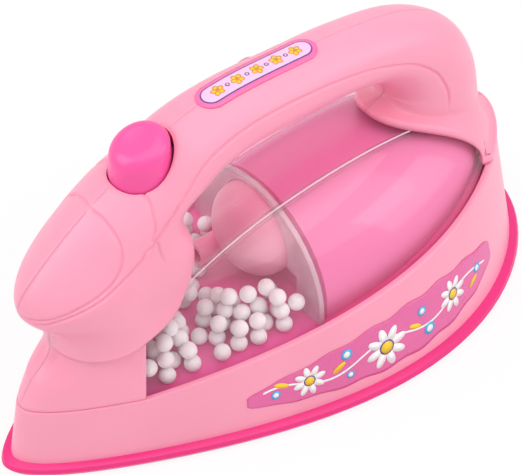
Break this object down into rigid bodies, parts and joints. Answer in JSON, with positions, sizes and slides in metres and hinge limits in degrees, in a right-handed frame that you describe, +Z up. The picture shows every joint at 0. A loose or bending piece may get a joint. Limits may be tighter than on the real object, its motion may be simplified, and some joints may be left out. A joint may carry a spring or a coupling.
{
  "type": "toy iron",
  "caption": "Toy clothes iron with a clear dome of loose foam balls, a looped handle with a push button on its head, and a small battery blower inside.",
  "frame": {"origin": "middle of the sole's underside, on the surface that the iron stands on", "axes": "+X from the nose to the heel, +Y to the iron's right side seen from behind the nose, +Z up"},
  "size_m": [0.175, 0.086, 0.091],
  "materials": {
    "sole_pink": "glossy moulded plastic",
    "shell_pink": "glossy moulded plastic",
    "clear": "clear moulded plastic",
    "deep_pink": "glossy moulded plastic",
    "blower_pink": "glossy moulded plastic",
    "fan": "moulded plastic",
    "steel": "bright steel",
    "can": "plain metal can",
    "cells": "printed sleeve",
    "foam": "matt foam",
    "button_pink": "glossy moulded plastic",
    "dark": "dark moulded plastic",
    "lead_red": "soft sleeve",
    "lead_dark": "soft sleeve",
    "badge": "printed plate",
    "sticker": "printed film"
  },
  "bodies": {
    "main_body": {"soleplate": "sole_pink", "battery_door": "sole_pink", "base_skirt": "shell_pink", "handle_left": "shell_pink", "handle_right": "shell_pink", "clear_dome": "clear", "clear_partition": "clear", "deck_tray": "deep_pink", "inner_cover": "deep_pink", "motor_bracket": "deep_pink", "blower_housing": "blower_pink", "contact_springs": "steel", "contact_plates": "steel", "door_screw": "steel", "sole_screws": "steel", "handle_screws": "steel", "motor": "can", "batteries": "cells", "foam_balls": "foam", "switch": "dark", "battery_box": "dark", "wire_motor": "lead_red", "wire_switch": "lead_dark", "handle_badge": "badge", "side_sticker_left": "sticker", "side_sticker_right": "sticker"},
    "button_body": {"button": "button_pink", "switch_plunger": "dark"},
    "fan_body": {"impeller": "fan", "motor_shaft": "steel"}
  },
  "joints": [
    {"name": "button_press", "type": "slide", "parent": "main_body", "child": "button_body", "axis": [0, 0, -1], "range_m": [0, 0.0025], "stiffness_N_per_m": 600, "springref_m": -0.001},
    {"name": "fan_spin", "type": "hinge", "parent": "main_body", "child": "fan_body", "pos_m": [0, 0, 0.03821], "axis": [1, 0, 0], "continuous": true}
  ]
}
